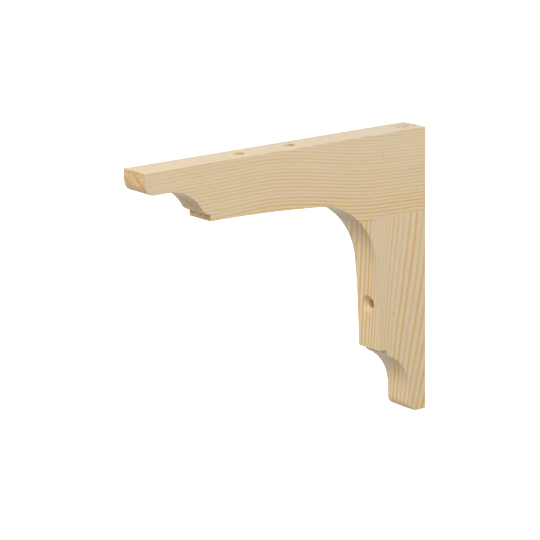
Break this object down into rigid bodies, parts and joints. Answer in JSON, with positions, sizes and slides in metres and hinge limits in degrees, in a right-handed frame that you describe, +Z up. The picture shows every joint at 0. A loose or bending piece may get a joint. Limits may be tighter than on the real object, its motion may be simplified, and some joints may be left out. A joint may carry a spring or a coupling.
{
  "type": "wooden shelf bracket",
  "caption": "L-shaped solid pine shelf bracket with a curved inner corner, coved and stepped ends, a bridle joint at the wall, a countersunk wall screw hole and dowel holes on top.",
  "frame": {"origin": "centre of the flat back face that bears on the wall", "axes": "+Y out of the back face into the wall, so the arm points along -Y; +Z up, out of the face that carries the shelf; X through the thickness"},
  "size_m": [0.025, 0.25, 0.215],
  "materials": {
    "pine_arm": "planed and sanded pine, unfinished, grain along the arm",
    "pine_leg": "planed and sanded pine, unfinished, grain along the leg"
  },
  "bodies": {
    "root": {"arm": "pine_arm", "leg": "pine_leg"}
  },
  "joints": []
}
